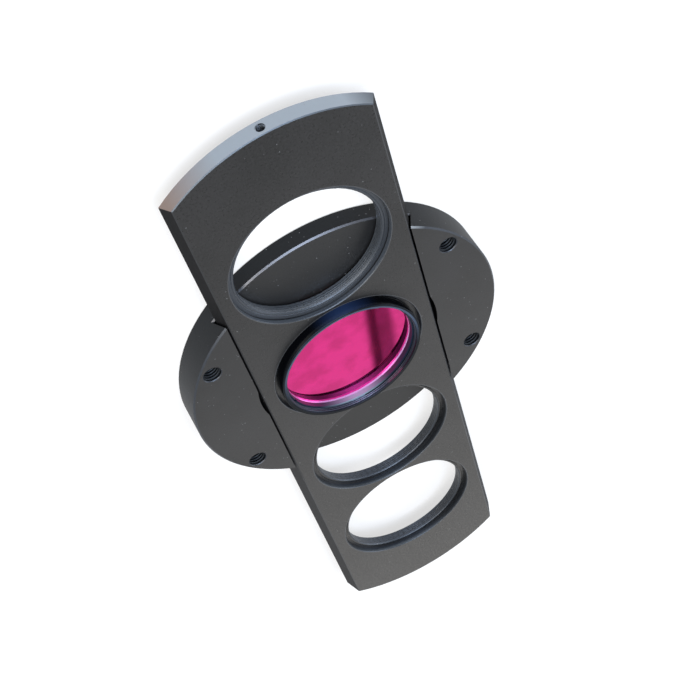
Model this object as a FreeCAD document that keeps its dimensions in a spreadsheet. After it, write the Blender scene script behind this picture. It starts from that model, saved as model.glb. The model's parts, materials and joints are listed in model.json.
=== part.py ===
import FreeCAD, Part
import Sketcher
import math
import os
import re

# A straight dovetail slide that brings one of four 48 mm filter openings over the bore of a round base.
# Lengths are millimetres, angles degrees. The origin is the middle of the base's back face, +Z points
# out of the open face and +X along the travel, away from the small hole in the end of the plate.

SIZES = [
    ("disc_radius", 54.0, "base disc, outer radius"),
    ("floor_thickness", 6.7, "base disc, web left under the channel"),
    ("rim_chamfer", 0.5, "base disc, chamfer on its outer edges"),
    ("bore_radius", 28.5, "light bore through the web"),
    ("bore_chamfer", 0.4, "chamfer at the back of the light bore"),
    ("relief_radius", 32.25, "shallow bore that nips both channel lips"),
    ("relief_step", 0.3, "shallow bore, depth below the channel floor"),
    ("mount_margin", 4.545, "mounting holes, distance in from the rim"),
    ("mount_angle", 57.05, "mounting holes, angle from the travel"),
    ("mount_thread_radius", 3.0, "mounting holes, M6 outer radius"),
    ("mount_sink_radius", 3.25, "mounting holes, radius of the countersink"),
    ("sink_angle", 90.0, "full angle of the countersinks"),
    ("station_pitch", 54.0, "slide plate, spacing of the openings"),
    ("station_count", 4, "slide plate, number of openings"),
    ("nearer_count", 1, "slide plate, openings on the near side of the one over the bore"),
    ("face_half_width", 30.7, "slide plate, half width of the front face"),
    ("plate_thickness", 5.3, "slide plate, thickness"),
    ("flank_angle", 24.57, "dovetail flanks, angle from upright"),
    ("side_clearance", 0.75, "gap beside each dovetail flank, measured along the face"),
    ("floor_clearance", 0.7, "gap under the slide plate"),
    ("end_radius", 53.5, "slide plate, radius of its round ends"),
    ("end_offset", 1.35, "slide plate, how far its outline sits to the near side of its row of openings"),
    ("edge_chamfer", 0.3, "slide plate, broken front edges"),
    ("thread_radius", 24.0, "filter thread M48, outer radius"),
    ("thread_chamfer", 0.3, "filter thread, lead-in chamfer"),
    ("ledge_width", 2.25, "ledge round each opening, from the thread to the wall of the recess"),
    ("recess_depth", 1.8, "recess, depth below the front face"),
    ("recess_chamfer", 0.2, "recess, broken edge"),
    ("relief_land", 0.45, "ledge between the thread and the turned groove"),
    ("relief_width", 0.35, "turned groove on the ledge, width"),
    ("relief_depth", 0.3, "turned groove on the ledge, depth"),
    ("end_hole_radius", 1.5, "small hole in the near end, M3 outer radius"),
    ("end_hole_depth", 8.0, "small hole in the near end, depth"),
    ("drill_angle", 118.0, "full angle of the drill point"),
    ("cell_flange", 0.75, "filter cell, how far it stands out past its male thread"),
    ("cell_height", 4.35, "filter cell, height above the ledge"),
    ("cell_wall", 0.65, "filter cell, from its threaded bore to the outside of the male thread"),
    ("cell_edge", 0.2, "filter cell, chamfers of its rim"),
    ("thread_depth", 0.45, "filter thread, depth"),
    ("spigot_length", 3.0, "filter cell, length of its male thread"),
    ("spigot_chamfer", 0.4, "filter cell, lead-in chamfer of the male thread"),
    ("glass_step", 0.3, "filter cell, step from its threaded bore in to the glass pocket"),
    ("glass_stand", 0.1, "filter cell, how far the glass stands above that step"),
    ("lip_width", 0.85, "filter cell, lip under the glass, width"),
    ("lip_thickness", 1.0, "filter cell, lip under the glass, thickness"),
    ("glass_thickness", 2.0, "filter glass, thickness"),
    ("glass_clearance", 0.1, "gap round the filter glass"),
    ("ring_wall", 0.85, "retaining ring, thickness of its wall"),
    ("ring_height", 2.4, "retaining ring, height"),
    ("ring_clearance", 0.05, "gap round the retaining ring"),
    ("slot_width", 1.2, "retaining ring, width of its two spanner slots"),
    ("slot_depth", 0.6, "retaining ring, depth of its two spanner slots"),
    ("slot_angle", 106.0, "retaining ring, angle from the travel to its slots"),
    ("plunger_inset_x", 18.0, "ball plungers, distance in from the rim along the travel"),
    ("plunger_inset_y", 1.4, "ball plungers, distance in from the edge of the plate's front face"),
    ("sleeve_radius", 2.0, "ball plunger, radius of its sleeve"),
    ("sleeve_length", 5.0, "ball plunger, length of its sleeve"),
    ("sleeve_base", 0.5, "ball plunger, thickness of the sleeve's closed end"),
    ("collar_radius", 2.3, "ball plunger, radius of its collar"),
    ("collar_height", 0.6, "ball plunger, height of its collar"),
    ("ball_radius", 1.5, "ball plunger, radius of its ball"),
    ("ball_clearance", 0.05, "ball plunger, gap between ball and sleeve"),
    ("ball_travel", 0.5, "ball plunger, travel of the ball"),
    ("ball_gap", 0.05, "gap between a pressed ball and the slide plate"),
    ("wire_radius", 0.15, "ball plunger, radius of the spring wire"),
    ("coil_radius", 1.1, "ball plunger, mean radius of the spring"),
    ("coil_turns", 4, "ball plunger, turns of the spring"),
    ("coil_gap", 0.05, "gap between the spring and what it presses on"),
    ("dimple_depth", 0.8, "drilled dimple for a ball, depth"),
]

# Places and slopes that several pieces share, in the words of the sheet
BACK = "(floor_thickness + floor_clearance)"
FACE = f"({BACK} + plate_thickness)"
LEDGE = f"({FACE} - recess_depth)"
SLOPE = "tan(flank_angle * 1 deg)"
MOUTH_HALF_WIDTH = "(face_half_width + side_clearance)"
FLOOR_HALF_WIDTH = f"({MOUTH_HALF_WIDTH} + (plate_thickness + floor_clearance) * {SLOPE})"
BACK_HALF_WIDTH = f"(face_half_width + plate_thickness * {SLOPE})"
HALF_RUN = "((station_count - 1) * station_pitch / 2)"
REST_X = f"({HALF_RUN} - nearer_count * station_pitch)"
CELL_BORE = "(thread_radius - cell_wall)"
GLASS_POCKET = f"({CELL_BORE} - glass_step)"
GLASS_SEAT = "(lip_thickness - spigot_length)"
PLUNGER_X = "(plunger_inset_x - disc_radius)"
PLUNGER_Y = "(face_half_width - plunger_inset_y)"
SLEEVE_BOTTOM = "(floor_thickness - sleeve_length)"
BALL_HEIGHT = f"({BACK} - ball_gap - ball_radius)"
SIDES = {"left": "-", "right": ""}
CHORDS_PER_TURN = 10

names = [name for name, value, meaning in SIZES]
doc = FreeCAD.newDocument("FilterSlide")
sheet = doc.addObject("Spreadsheet::Sheet", "Sizes")
for row, (name, value, meaning) in enumerate(SIZES, start=1):
    sheet.set(f"A{row}", meaning)
    sheet.set(f"B{row}", str(value))
    sheet.setAlias(f"B{row}", name)
doc.recompute()


def words(text):
    """The formula with every size spelled as the sheet's own cell."""
    return re.sub(r"[a-z_]+", lambda m: "Sizes." + m.group() if m.group() in names else m.group(), text)


def number(text):
    return float(sheet.evalExpression(words(text)))


def bind(thing, prop, text):
    thing.setExpression(prop, words(text))


def new_body(name, x="0", y="0", z="0"):
    body = doc.addObject("PartDesign::Body", name)
    body.Label = name
    for axis, text in zip("xyz", (x, y, z)):
        bind(body, f"Placement.Base.{axis}", text)
    return body


def new_sketch(body, name, plane, x="0", y="0", z="0"):
    """A sketch on one of the body's own origin planes, shifted along the plane's axes."""
    sketch = body.newObject("Sketcher::SketchObject", name)
    support = [item for item in body.Origin.OriginFeatures if item.Role == plane]
    sketch.AttachmentSupport = [(support[0], "")]
    sketch.MapMode = "FlatFace"
    for axis, text in zip("xyz", (x, y, z)):
        bind(sketch, f"AttachmentOffset.Base.{axis}", text)
    return sketch


def dimension(sketch, kind, size, *place):
    """Adds a dimension to a sketch and ties it to a formula."""
    index = sketch.addConstraint(Sketcher.Constraint(kind, *place, number(size)))
    bind(sketch, f"Constraints[{index}]", size)


def fix_point(sketch, line, end, point):
    dimension(sketch, "DistanceX", point[0], -1, 1, line, end)
    dimension(sketch, "DistanceY", point[1], -1, 1, line, end)


def polygon(sketch, corners):
    """A closed outline of straight lines through corners given by formulas."""
    points = [FreeCAD.Vector(number(x), number(y), 0) for x, y in corners]
    lines = []
    for start, end in zip(points, points[1:] + points[:1]):
        lines.append(sketch.addGeometry(Part.LineSegment(start, end), False))
    for line, following in zip(lines, lines[1:] + lines[:1]):
        sketch.addConstraint(Sketcher.Constraint("Coincident", line, 2, following, 1))
    for line, corner in zip(lines, corners):
        fix_point(sketch, line, 1, corner)


def circle(sketch, middle, radius):
    centre = FreeCAD.Vector(number(middle[0]), number(middle[1]), 0)
    ring = sketch.addGeometry(Part.Circle(centre, FreeCAD.Vector(0, 0, 1), number(radius)), False)
    dimension(sketch, "Radius", radius, ring)
    fix_point(sketch, ring, 3, middle)


def arc(sketch, x, y, radius, start, end):
    """An arc about a point of the sketch, between two angles in radians."""
    whole = Part.Circle(FreeCAD.Vector(x, y, 0), FreeCAD.Vector(0, 0, 1), radius)
    return sketch.addGeometry(Part.ArcOfCircle(whole, start, end), False)


def pad(body, name, sketch, length):
    feature = body.newObject("PartDesign::Pad", name)
    feature.Profile = sketch
    bind(feature, "Length", length)
    doc.recompute()
    return feature


def pocket(body, name, sketch, depth=None, upwards=False, both_ways=False):
    """Cuts a sketch's outline to a depth, or right through where no depth is given."""
    feature = body.newObject("PartDesign::Pocket", name)
    feature.Profile = sketch
    feature.Reversed = upwards
    feature.Midplane = both_ways
    if depth:
        bind(feature, "Length", depth)
    else:
        feature.Type = "ThroughAll"
    doc.recompute()
    return feature


def turned(body, name, kind, sketch):
    """Turns a sketch about its own upright axis, to add or to cut."""
    feature = body.newObject(f"PartDesign::{kind}", name)
    feature.Profile = sketch
    feature.ReferenceAxis = (sketch, ["V_Axis"])
    feature.Angle = 360
    doc.recompute()
    return feature


def edge_break(body, name, size, chosen):
    """A chamfer on the edges that the test picks."""
    base = body.Tip
    edges = [f"Edge{i}" for i, edge in enumerate(base.Shape.Edges, start=1) if chosen(edge)]
    feature = body.newObject("PartDesign::Chamfer", name)
    feature.Base = (base, edges)
    bind(feature, "Size", size)
    doc.recompute()
    return feature


def row_of(body, name, features):
    """Repeats cuts along the travel, once for each opening."""
    pattern = body.newObject("PartDesign::LinearPattern", name)
    pattern.Originals = features
    axis = [item for item in body.Origin.OriginFeatures if item.Role == "X_Axis"]
    pattern.Direction = (axis[0], [""])
    bind(pattern, "Length", "(station_count - 1) * station_pitch")
    bind(pattern, "Occurrences", "station_count")
    body.Tip = pattern
    doc.recompute()
    return pattern


def is_ring(edge, radius, height):
    """True for an arc of this radius about an upright axis, at this height."""
    if not isinstance(edge.Curve, Part.Circle):
        return False
    return abs(edge.Curve.Radius - radius) < 1e-4 and abs(edge.Curve.Center.z - height) < 1e-4


def base_plate():
    """The disc with its dovetail channel, light bore, mounting holes and plunger seats."""
    body = new_body("base_plate")
    outline = new_sketch(body, "disc_outline", "XY_Plane")
    circle(outline, ("0", "0"), "disc_radius")
    pad(body, "disc", outline, FACE)

    section = new_sketch(body, "channel_section", "YZ_Plane")
    polygon(section, [
        (f"-{MOUTH_HALF_WIDTH}", FACE),
        (f"-{FLOOR_HALF_WIDTH}", "floor_thickness"),
        (FLOOR_HALF_WIDTH, "floor_thickness"),
        (MOUTH_HALF_WIDTH, FACE),
    ])
    pocket(body, "dovetail_channel", section, both_ways=True)

    relief = new_sketch(body, "relief_outline", "XY_Plane", z="floor_thickness - relief_step")
    circle(relief, ("0", "0"), "relief_radius")
    pocket(body, "relief_bore", relief, upwards=True)

    bore = new_sketch(body, "bore_outline", "XY_Plane")
    circle(bore, ("0", "0"), "bore_radius")
    pocket(body, "light_bore", bore, upwards=True)

    rim = number("disc_radius")
    heights = (0, number("floor_thickness"), number(FACE))
    edge_break(body, "rim_chamfers", "rim_chamfer",
               lambda edge: any(is_ring(edge, rim, height) for height in heights))
    edge_break(body, "bore_chamfer_back", "bore_chamfer",
               lambda edge: is_ring(edge, number("bore_radius"), 0))

    mounts = new_sketch(body, "mount_points", "XY_Plane", z=FACE)
    reach = "(disc_radius - mount_margin)"
    for along in SIDES.values():
        for across in SIDES.values():
            middle = (f"{along}{reach} * cos(mount_angle * 1 deg)", f"{across}{reach} * sin(mount_angle * 1 deg)")
            circle(mounts, middle, "mount_thread_radius")
    hole = body.newObject("PartDesign::Hole", "mount_holes")
    hole.Profile = mounts
    hole.DepthType = "ThroughAll"
    hole.HoleCutType = "Countersink"
    hole.HoleCutCustomValues = True
    bind(hole, "Diameter", "2 * mount_thread_radius")
    bind(hole, "HoleCutDiameter", "2 * mount_sink_radius")
    bind(hole, "HoleCutCountersinkAngle", "sink_angle")
    doc.recompute()

    for name, radius, depth in (
        ("sleeve_seats", "sleeve_radius", "sleeve_length"),
        ("collar_seats", "collar_radius", "collar_height"),
    ):
        seats = new_sketch(body, f"{name}_points", "XY_Plane", z="floor_thickness")
        for across in SIDES.values():
            circle(seats, (PLUNGER_X, f"{across}{PLUNGER_Y}"), radius)
        pocket(body, name, seats, depth=depth)
    return body


def slide_plate():
    """The dovetail plate with its row of stepped openings, about its own middle."""
    body = new_body("slide_plate", x=REST_X, z=BACK)
    outline = new_sketch(body, "plate_outline", "XY_Plane")
    half = number(BACK_HALF_WIDTH)
    run = number(HALF_RUN)
    radius = number("end_radius")
    shift = number("end_offset")
    swing = math.asin(half / radius)
    reach = run + radius * math.cos(swing)
    near_side = sketch_line(outline, (-reach - shift, -half), (reach - shift, -half))
    far_end = arc(outline, run - shift, 0, radius, -swing, swing)
    far_side = sketch_line(outline, (reach - shift, half), (-reach - shift, half))
    near_end = arc(outline, -run - shift, 0, radius, math.pi - swing, math.pi + swing)
    joints = ((near_side, 2, far_end, 1), (far_end, 2, far_side, 1),
              (far_side, 2, near_end, 1), (near_end, 2, near_side, 1))
    for joint in joints:
        outline.addConstraint(Sketcher.Constraint("Coincident", *joint))
    for line, across in ((near_side, "-"), (far_side, "")):
        outline.addConstraint(Sketcher.Constraint("Horizontal", line))
        dimension(outline, "DistanceY", f"{across}{BACK_HALF_WIDTH}", -1, 1, line, 1)
    for end, along in ((near_end, "-"), (far_end, "")):
        dimension(outline, "Radius", "end_radius", end)
        fix_point(outline, end, 3, (f"{along}{HALF_RUN} - end_offset", "0"))
    pad(body, "plate", outline, "plate_thickness")

    for side, across in SIDES.items():
        section = new_sketch(body, f"flank_section_{side}", "YZ_Plane")
        polygon(section, [
            (f"{across}{BACK_HALF_WIDTH}", "0"),
            (f"{across}disc_radius", "0"),
            (f"{across}disc_radius", "plate_thickness"),
            (f"{across}face_half_width", "plate_thickness"),
        ])
        pocket(body, f"flank_{side}", section, both_ways=True)

    top = number("plate_thickness")
    edge_break(body, "front_edges", "edge_chamfer",
               lambda edge: all(abs(vertex.Z - top) < 1e-4 for vertex in edge.Vertexes))

    step = new_sketch(body, "opening_section", "XZ_Plane", x=f"-{HALF_RUN}")
    ledge = "(plate_thickness - recess_depth)"
    wall = "(thread_radius + ledge_width)"
    lead_in = "(thread_radius + thread_chamfer)"
    groove_start = f"({lead_in} + relief_land)"
    groove_end = f"({groove_start} + relief_width)"
    polygon(step, [
        ("0", "0"),
        ("thread_radius", "0"),
        ("thread_radius", f"{ledge} - thread_chamfer"),
        (lead_in, ledge),
        (groove_start, ledge),
        (groove_start, f"{ledge} - relief_depth"),
        (groove_end, f"{ledge} - relief_depth"),
        (groove_end, ledge),
        (wall, ledge),
        (wall, "plate_thickness - recess_chamfer"),
        (f"{wall} + recess_chamfer", "plate_thickness"),
        ("0", "plate_thickness"),
    ])
    row_of(body, "openings", [turned(body, "opening", "Groove", step)])

    dimples = []
    for side, across in SIDES.items():
        away = "" if across else "-"
        cone = new_sketch(body, f"dimple_section_{side}", "XZ_Plane",
                          x=f"{PLUNGER_X} - {HALF_RUN}", z=f"{away}{PLUNGER_Y}")
        polygon(cone, [
            ("0", "0"),
            ("dimple_depth * tan(drill_angle * 0.5 deg)", "0"),
            ("0", "dimple_depth"),
        ])
        dimples.append(turned(body, f"dimple_{side}", "Groove", cone))
    row_of(body, "dimples", dimples)

    end_point = new_sketch(body, "end_hole_point", "YZ_Plane", z=f"-{HALF_RUN} - end_offset - end_radius")
    circle(end_point, ("0", "plate_thickness / 2"), "end_hole_radius")
    hole = body.newObject("PartDesign::Hole", "end_hole")
    hole.Profile = end_point
    hole.Reversed = True
    hole.DepthType = "Dimension"
    hole.DrillPoint = "Angled"
    bind(hole, "Diameter", "2 * end_hole_radius")
    bind(hole, "Depth", "end_hole_depth")
    bind(hole, "DrillPointAngle", "drill_angle")
    doc.recompute()
    return body


def sketch_line(sketch, start, end):
    line = Part.LineSegment(FreeCAD.Vector(*start, 0), FreeCAD.Vector(*end, 0))
    return sketch.addGeometry(line, False)


def turned_piece(name, corners, x="0", y="0", z="0"):
    """A body turned from one outline of radius and height."""
    body = new_body(name, x, y, z)
    section = new_sketch(body, f"{name}_section", "XZ_Plane")
    polygon(section, corners)
    turned(body, f"{name}_turned", "Revolution", section)
    return body


def filter_cell():
    """The threaded ring that seats on the ledge. Its heights count from the ledge."""
    outside = "(thread_radius + cell_flange)"
    root = "(thread_radius - thread_depth)"
    lip = f"({GLASS_POCKET} - lip_width)"
    step = f"({GLASS_SEAT} + glass_thickness - glass_stand)"
    return turned_piece("filter_cell", [
        (lip, "-spigot_length"),
        (f"{root} - spigot_chamfer", "-spigot_length"),
        (root, "spigot_chamfer - spigot_length"),
        (root, "0"),
        (outside, "0"),
        (outside, "cell_height - cell_edge"),
        (f"{outside} - cell_edge", "cell_height"),
        (f"{CELL_BORE} + cell_edge", "cell_height"),
        (CELL_BORE, "cell_height - cell_edge"),
        (CELL_BORE, step),
        (GLASS_POCKET, step),
        (GLASS_POCKET, GLASS_SEAT),
        (lip, GLASS_SEAT),
    ], z=LEDGE)


def filter_glass():
    edge = f"({GLASS_POCKET} - glass_clearance)"
    return turned_piece("filter_glass", [
        ("0", "0"),
        (edge, "0"),
        (edge, "glass_thickness"),
        ("0", "glass_thickness"),
    ], z=f"{LEDGE} + {GLASS_SEAT}")


def filter_retaining_ring():
    """The screwed ring that holds the glass down, with two slots for a spanner."""
    outer = f"({CELL_BORE} - ring_clearance)"
    inner = f"({CELL_BORE} - ring_wall)"
    body = turned_piece("filter_retaining_ring", [
        (inner, "0"),
        (outer, "0"),
        (outer, "ring_height"),
        (inner, "ring_height"),
    ], z=f"{LEDGE} + {GLASS_SEAT} + glass_thickness")
    slots = new_sketch(body, "slot_outline", "XY_Plane", z="ring_height")
    bind(slots, "AttachmentOffset.Rotation.Angle", "slot_angle")
    polygon(slots, [
        (f"-{CELL_BORE}", "-slot_width / 2"),
        (CELL_BORE, "-slot_width / 2"),
        (CELL_BORE, "slot_width / 2"),
        (f"-{CELL_BORE}", "slot_width / 2"),
    ])
    pocket(body, "slots", slots, depth="slot_depth")
    return body


def plunger_sleeve(side, across):
    """The pressed-in sleeve of a ball plunger, rolled in at its mouth to keep the ball."""
    body = turned_piece(f"plunger_sleeve_{side}", [
        ("0", "0"),
        ("sleeve_radius", "0"),
        ("sleeve_radius", "sleeve_length - collar_height"),
        ("collar_radius", "sleeve_length - collar_height"),
        ("collar_radius", "sleeve_length"),
        ("0", "sleeve_length"),
    ], x=PLUNGER_X, y=f"{across}{PLUNGER_Y}", z=SLEEVE_BOTTOM)
    cavity = "(ball_radius + ball_clearance)"
    raised = f"({BALL_HEIGHT} + ball_travel - {SLEEVE_BOTTOM})"
    barrel = new_sketch(body, f"barrel_section_{side}", "XZ_Plane")
    polygon(barrel, [
        ("0", "sleeve_base"),
        (cavity, "sleeve_base"),
        (cavity, raised),
        ("0", raised),
    ])
    turned(body, f"barrel_{side}", "Groove", barrel)

    mouth = new_sketch(body, f"mouth_section_{side}", "XZ_Plane")
    middle = number(raised)
    radius = number(cavity)
    curve = arc(mouth, 0, middle, radius, -math.pi / 2, math.pi / 2)
    chord = sketch_line(mouth, (0, middle + radius), (0, middle - radius))
    mouth.addConstraint(Sketcher.Constraint("Coincident", curve, 2, chord, 1))
    mouth.addConstraint(Sketcher.Constraint("Coincident", chord, 2, curve, 1))
    mouth.addConstraint(Sketcher.Constraint("Vertical", chord))
    mouth.addConstraint(Sketcher.Constraint("PointOnObject", curve, 3, chord))
    fix_point(mouth, curve, 3, ("0", raised))
    dimension(mouth, "Radius", cavity, curve)
    turned(body, f"mouth_{side}", "Groove", mouth)
    return body


def plunger_spring(side, across):
    """The coil under the ball, from the closed end of the sleeve to the pressed ball.

    The wire is a tube along straight chords of the helix, with a six-sided section."""
    x, y = number(PLUNGER_X), number(f"{across}{PLUNGER_Y}")
    wire = number("wire_radius")
    coil = number("coil_radius")
    bottom = number(f"{SLEEVE_BOTTOM} + sleeve_base + coil_gap + wire_radius")
    reach = "(ball_radius + coil_gap + wire_radius)"
    top = number(f"{BALL_HEIGHT} - sqrt({reach} ^ 2 - coil_radius ^ 2)")
    chords = int(number("coil_turns") * CHORDS_PER_TURN)
    path = []
    for step in range(chords + 1):
        turn = 2 * math.pi * step / CHORDS_PER_TURN
        height = bottom + (top - bottom) * step / chords
        path.append(FreeCAD.Vector(coil * math.cos(turn), coil * math.sin(turn), height))
    along = (path[1] - path[0]).normalize()
    outward = FreeCAD.Vector(0, 0, 1).cross(along).normalize()
    upward = along.cross(outward)
    section = []
    for corner in range(6):
        turn = 2 * math.pi * corner / 6
        section.append(path[0] + outward * (wire * math.cos(turn)) + upward * (wire * math.sin(turn)))
    outline = Part.makePolygon(section + section[:1])
    spring = doc.addObject("Part::Feature", f"plunger_spring_{side}")
    spring.Label = f"plunger_spring_{side}"
    spring.Shape = Part.makePolygon(path).makePipeShell([outline], True, True, 1)
    spring.Placement.Base = FreeCAD.Vector(x, y, 0)
    return spring


def plunger_ball(side, across):
    ball = doc.addObject("Part::Sphere", f"plunger_ball_{side}")
    ball.Label = f"plunger_ball_{side}"
    bind(ball, "Radius", "ball_radius")
    bind(ball, "Placement.Base.x", PLUNGER_X)
    bind(ball, "Placement.Base.y", f"{across}{PLUNGER_Y}")
    bind(ball, "Placement.Base.z", BALL_HEIGHT)
    doc.recompute()
    return ball


pieces = [base_plate(), slide_plate(), filter_cell(), filter_glass(), filter_retaining_ring()]
for side, across in SIDES.items():
    pieces.append(plunger_sleeve(side, across))
    pieces.append(plunger_spring(side, across))
    pieces.append(plunger_ball(side, across))

doc.recompute()
for item in doc.Objects:
    if "Invalid" in item.State or "Error" in item.State:
        raise RuntimeError(f"{item.Name} did not build: {item.State}")
for piece in pieces:
    if piece.Shape.isNull() or not piece.Shape.isValid() or len(piece.Shape.Solids) != 1:
        raise RuntimeError(f"{piece.Label} is not one sound solid")

os.makedirs("parts", exist_ok=True)
for piece in pieces:
    piece.Shape.exportStep(f"parts/{piece.Label}.step")
    box = piece.Shape.BoundBox
    print(f"{piece.Label}: {piece.Shape.Volume:.1f} mm3, x {box.XMin:.2f} to {box.XMax:.2f}, "
          f"y {box.YMin:.2f} to {box.YMax:.2f}, z {box.ZMin:.2f} to {box.ZMax:.2f}")
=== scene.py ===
import json
import math

import bpy
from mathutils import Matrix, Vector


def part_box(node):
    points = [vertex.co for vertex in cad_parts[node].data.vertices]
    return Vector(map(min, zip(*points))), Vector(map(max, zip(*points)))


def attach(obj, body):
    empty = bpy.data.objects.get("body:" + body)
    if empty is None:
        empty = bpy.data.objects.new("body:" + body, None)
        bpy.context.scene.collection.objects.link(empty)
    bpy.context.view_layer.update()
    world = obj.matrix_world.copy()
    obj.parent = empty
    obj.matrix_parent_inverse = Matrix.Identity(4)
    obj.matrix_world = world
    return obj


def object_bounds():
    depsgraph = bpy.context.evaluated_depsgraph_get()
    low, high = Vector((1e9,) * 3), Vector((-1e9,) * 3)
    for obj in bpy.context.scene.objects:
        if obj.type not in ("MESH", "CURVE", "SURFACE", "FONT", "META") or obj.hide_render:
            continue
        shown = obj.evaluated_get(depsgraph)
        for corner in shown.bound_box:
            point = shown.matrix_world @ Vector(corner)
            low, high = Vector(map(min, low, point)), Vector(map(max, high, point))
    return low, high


# Filter slide: a dovetail plate with four threaded openings in a round base. One opening holds a filter.
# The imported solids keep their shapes. This script gives them their finishes and adds the screw threads.

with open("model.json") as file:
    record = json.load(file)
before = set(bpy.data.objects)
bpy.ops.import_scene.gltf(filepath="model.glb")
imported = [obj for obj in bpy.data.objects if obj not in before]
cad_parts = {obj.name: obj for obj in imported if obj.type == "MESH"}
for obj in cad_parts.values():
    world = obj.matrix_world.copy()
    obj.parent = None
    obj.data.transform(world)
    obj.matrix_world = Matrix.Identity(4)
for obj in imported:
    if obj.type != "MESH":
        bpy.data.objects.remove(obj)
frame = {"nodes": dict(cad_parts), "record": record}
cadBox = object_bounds()
nodes = frame["nodes"]
mounts = {mount["name"]: mount for mount in frame["record"]["mounts"]}
mm = 0.001
print("frame loaded,", len(nodes), "nodes")

# Camera, floor, background and lights

view = {
    "place": (-386.508, -45.775, 277.760),  # mm
    "turn": (-50.805, -26.674, 76.814),  # degrees
    "lens": 75.2385, "sensor": 36,  # mm
    "shift": (-0.0009, 0.0023),
}
studio = {
    "floorSize": 4000,  # mm
    "floorGap": 0.02,  # mm, from the floor up to the part
    "floorColour": "#f4f4f3",
    "floorGlow": 1.06,  # strength of what is plain white on it
    "floorWhite": 0.62,  # share of the floor that is plain white to the camera, the rest takes the shadow
    "allWhite": (300, 750),  # mm from the middle, over which that share grows to the whole
    "skyLight": 0.4,  # how much the background lights the object
    "skyLow": 0.8, "skyTop": 0.12,  # what a mirror sees of the background near the horizon and overhead
    "skyFade": (0.58, 0.8),  # over which one turns into the other: 0 is the horizon, 1 straight up
    # A dark strip in the background shows in the coated glass as an upright band. Its sizes are shares of a
    # direction one unit long.
    "strip": {
        "side": (0.1022, 0.9350, -0.3397), "start": -0.0012, "width": 0.0175, "core": 0.0085, "soft": 0.0022,
        "dark": 0.3, "darkest": 0.09,
        "height": 0.57, "reach": (0.06, 0.1),  # its middle, and how far above and below it the strip fades out
        "forward": 0.6,  # it lies in the directions whose X is more than this
    },
    "lamps": {
        # place and size in mm, power in watts
        "key": {"place": (-500, -700, 900), "size": (600, 600), "power": 8, "colour": "#fff9f2"},
        "fill": {"place": (300, 800, 700), "size": (700, 500), "power": 5, "colour": "#eef4ff"},
        "back": {"place": (1100, -60, 450), "size": (1000, 280), "power": 0.6, "colour": "#fffaf2"},
        "front": {"place": (-500, 60, 750), "size": (500, 500), "power": 8, "colour": "#dbe9ff"},
    },
}


def hexColour(code):
    shades = [int(code[start:start + 2], 16) / 255 for start in (1, 3, 5)]
    return [s / 12.92 if s <= 0.04045 else ((s + 0.055) / 1.055) ** 2.4 for s in shades] + [1]


# Adds a node. Its settings are attributes, and its inputs are values or the sockets that feed them.
def addNode(tree, kind, settings={}, inputs={}):
    node = tree.nodes.new(kind)
    for name, value in settings.items():
        setattr(node, name, value)
    for name, value in inputs.items():
        if isinstance(value, bpy.types.NodeSocket):
            tree.links.new(value, node.inputs[name])
        else:
            node.inputs[name].default_value = value
    return node


def place(data, name):
    thing = bpy.data.objects.new(name, data)
    bpy.context.scene.collection.objects.link(thing)
    return thing


def makeCamera():
    lens = bpy.data.cameras.new("camera")
    lens.sensor_width = view["sensor"]
    lens.lens = view["lens"]
    lens.shift_x, lens.shift_y = view["shift"]
    camera = place(lens, "camera")
    camera.location = [value * mm for value in view["place"]]
    camera.rotation_euler = [math.radians(value) for value in view["turn"]]
    bpy.context.scene.camera = camera


# White to the camera and in reflections, pale to everything else
def seenDirectly(tree):
    path = addNode(tree, "ShaderNodeLightPath")
    some = addNode(tree, "ShaderNodeMath", {"operation": "MAXIMUM"},
                   {0: path.outputs["Is Camera Ray"], 1: path.outputs["Is Glossy Ray"]})
    every = addNode(tree, "ShaderNodeMath", {"operation": "MAXIMUM"},
                    {0: some.outputs[0], 1: path.outputs["Is Transmission Ray"]})
    return every.outputs[0]


def makeFloor():
    half = studio["floorSize"] / 2 * mm
    mesh = bpy.data.meshes.new("floor")
    under = cadBox[0][2] - studio["floorGap"] * mm
    mesh.from_pydata([(-half, -half, under), (half, -half, under), (half, half, under), (-half, half, under)],
                     [], [(0, 1, 2, 3)])
    floor = place(mesh, "floor")
    paper = bpy.data.materials.new("white_paper_sweep")
    paper.use_nodes = True
    tree = paper.node_tree
    tree.nodes.clear()
    matt = addNode(tree, "ShaderNodeBsdfDiffuse", {}, {"Color": hexColour(studio["floorColour"])})
    glow = addNode(tree, "ShaderNodeEmission", {}, {"Strength": studio["floorGlow"]})
    spot = addNode(tree, "ShaderNodeTexCoord").outputs["Object"]
    distance = addNode(tree, "ShaderNodeVectorMath", {"operation": "LENGTH"}, {0: spot})
    inner, outer = studio["allWhite"]
    white = addNode(tree, "ShaderNodeMapRange", {},
                    {"Value": distance.outputs["Value"], "From Min": inner * mm, "From Max": outer * mm,
                     "To Min": studio["floorWhite"], "To Max": 1.0})
    share = addNode(tree, "ShaderNodeMath", {"operation": "MULTIPLY"},
                    {0: seenDirectly(tree), 1: white.outputs[0]})
    both = addNode(tree, "ShaderNodeMixShader", {},
                   {0: share.outputs[0], 1: matt.outputs[0], 2: glow.outputs[0]})
    addNode(tree, "ShaderNodeOutputMaterial", {}, {"Surface": both.outputs[0]})
    mesh.materials.append(paper)


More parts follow.
